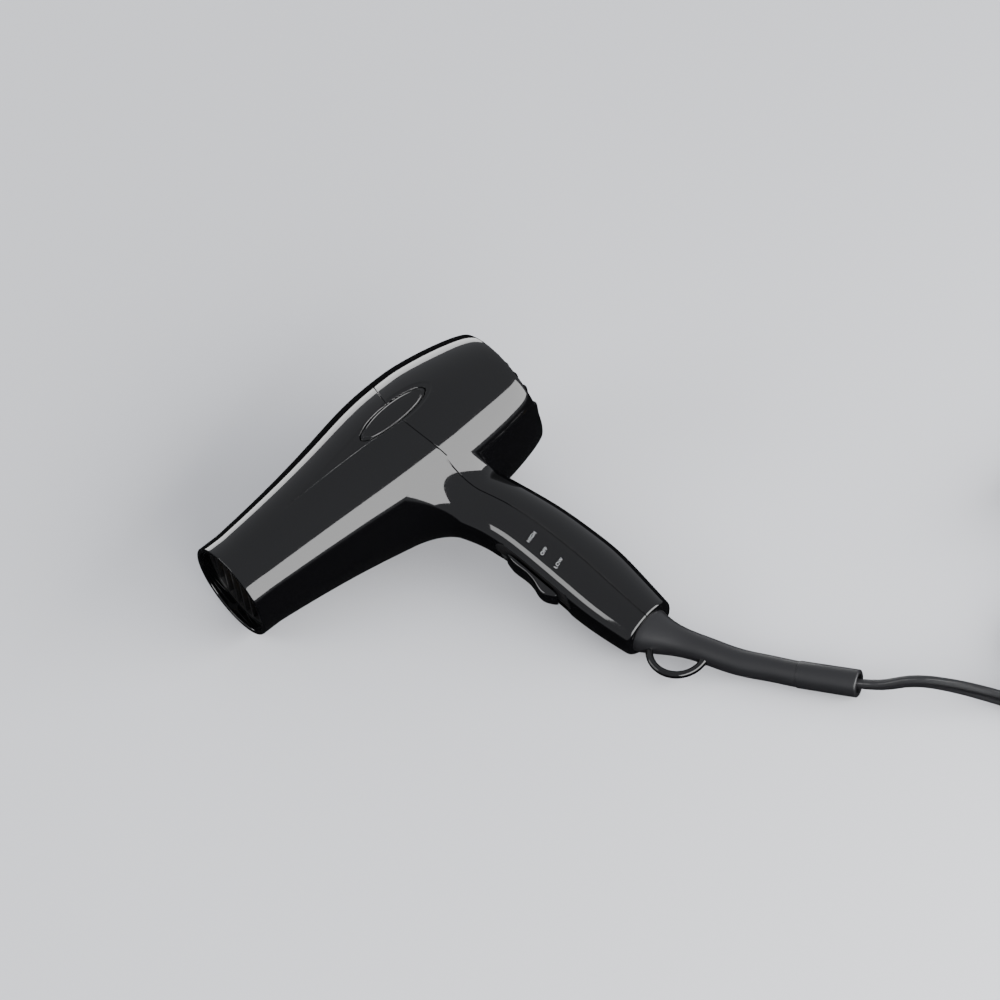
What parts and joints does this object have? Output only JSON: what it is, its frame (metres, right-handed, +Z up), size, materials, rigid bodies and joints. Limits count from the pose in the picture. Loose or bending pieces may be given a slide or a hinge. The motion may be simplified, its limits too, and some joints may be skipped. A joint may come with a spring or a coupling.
{
  "type": "travel hair dryer",
  "caption": "Compact hair dryer lying on its side: tapered gloss-black barrel, curved handle with a slide switch, hang loop on the cord sleeve, coiled flat cord and plug.",
  "frame": {"origin": "on the surface the dryer lies on, under the middle of the dryer without its cord", "axes": "+Z up from the surface; +X along the barrel's level direction from the air outlet to the air inlet; -Y towards the handle's end"},
  "size_m": [0.3472, 0.3943, 0.0778],
  "materials": {
    "gloss_black": "injection moulded ABS with a polished piano-black face",
    "satin_black": "injection moulded nylon, fine spark texture",
    "rubber_black": "moulded PVC elastomer, satin",
    "cord_black": "extruded PVC, ribbed flat cord",
    "steel": "zinc plated or drawn steel",
    "brass": "stamped brass",
    "bronze": "sintered bronze",
    "white_plastic": "heat resistant glass-filled nylon, natural",
    "grey_plastic": "moulded nylon",
    "ferrite": "sintered ferrite",
    "copper": "enamelled copper winding on laminated steel",
    "diode_black": "moulded epoxy",
    "mica": "phlogopite mica sheet",
    "nichrome": "wound nichrome wire",
    "thermostat_metal": "pressed metal case",
    "lead_white": "glass-sleeved wire",
    "board_green": "printed circuit board",
    "button_grey": "moulded",
    "button_red": "moulded"
  },
  "bodies": {
    "housing": {"clamp_screws": "steel", "cord_clamp": "white_plastic", "cord_coil": "cord_black", "cord_lead": "cord_black", "cord_sleeve": "rubber_black", "front_housing": "gloss_black", "handle_screws": "steel", "hang_loop": "gloss_black", "heater_coil_high": "nichrome", "heater_coil_low": "nichrome", "heater_tube": "mica", "inner_cord": "cord_black", "inner_cores": "cord_black", "lint_screen": "steel", "mica_board_level": "mica", "mica_board_upright": "mica", "motor_bushes": "bronze", "motor_can": "steel", "motor_end_cap": "white_plastic", "motor_magnets": "ferrite", "motor_mount": "white_plastic", "outlet_grille": "satin_black", "plug_blades": "brass", "plug_body": "satin_black", "plug_circuit_board": "board_green", "plug_cover": "satin_black", "plug_relief": "rubber_black", "plug_screws": "steel", "rear_grille": "satin_black", "rear_housing": "gloss_black", "rectifier_diodes": "diode_black", "side_inlay_left": "gloss_black", "side_inlay_right": "gloss_black", "sleeve_collar": "rubber_black", "supply_leads": "lead_white", "switch_body": "white_plastic", "switch_surround": "satin_black", "switch_terminals": "brass", "thermal_fuse": "thermostat_metal", "thermostat": "thermostat_metal"},
    "fan": {"fan_impeller": "grey_plastic", "motor_shaft": "steel", "motor_rotor": "copper", "motor_commutator": "copper"},
    "switch": {"switch_knob": "gloss_black", "switch_carriage": "white_plastic"},
    "test_key": {"test_button": "button_grey"},
    "reset_key": {"reset_button": "button_red"}
  },
  "joints": [
    {"name": "fan_spin", "type": "hinge", "parent": "housing", "child": "fan", "pos_m": [0.0439, 0.10158, 0.04097], "axis": [0.9935, 0, 0.1142], "continuous": true},
    {"name": "switch_slide", "type": "slide", "parent": "housing", "child": "switch", "axis": [0.0797, -0.9819, -0.1719], "range_m": [-0.006, 0.006]},
    {"name": "test_press", "type": "slide", "parent": "housing", "child": "test_key", "axis": [0, 0, -1], "range_m": [0, 0.0012], "stiffness_N_per_m": 900},
    {"name": "reset_press", "type": "slide", "parent": "housing", "child": "reset_key", "axis": [0, 0, -1], "range_m": [0, 0.0012], "stiffness_N_per_m": 900}
  ]
}
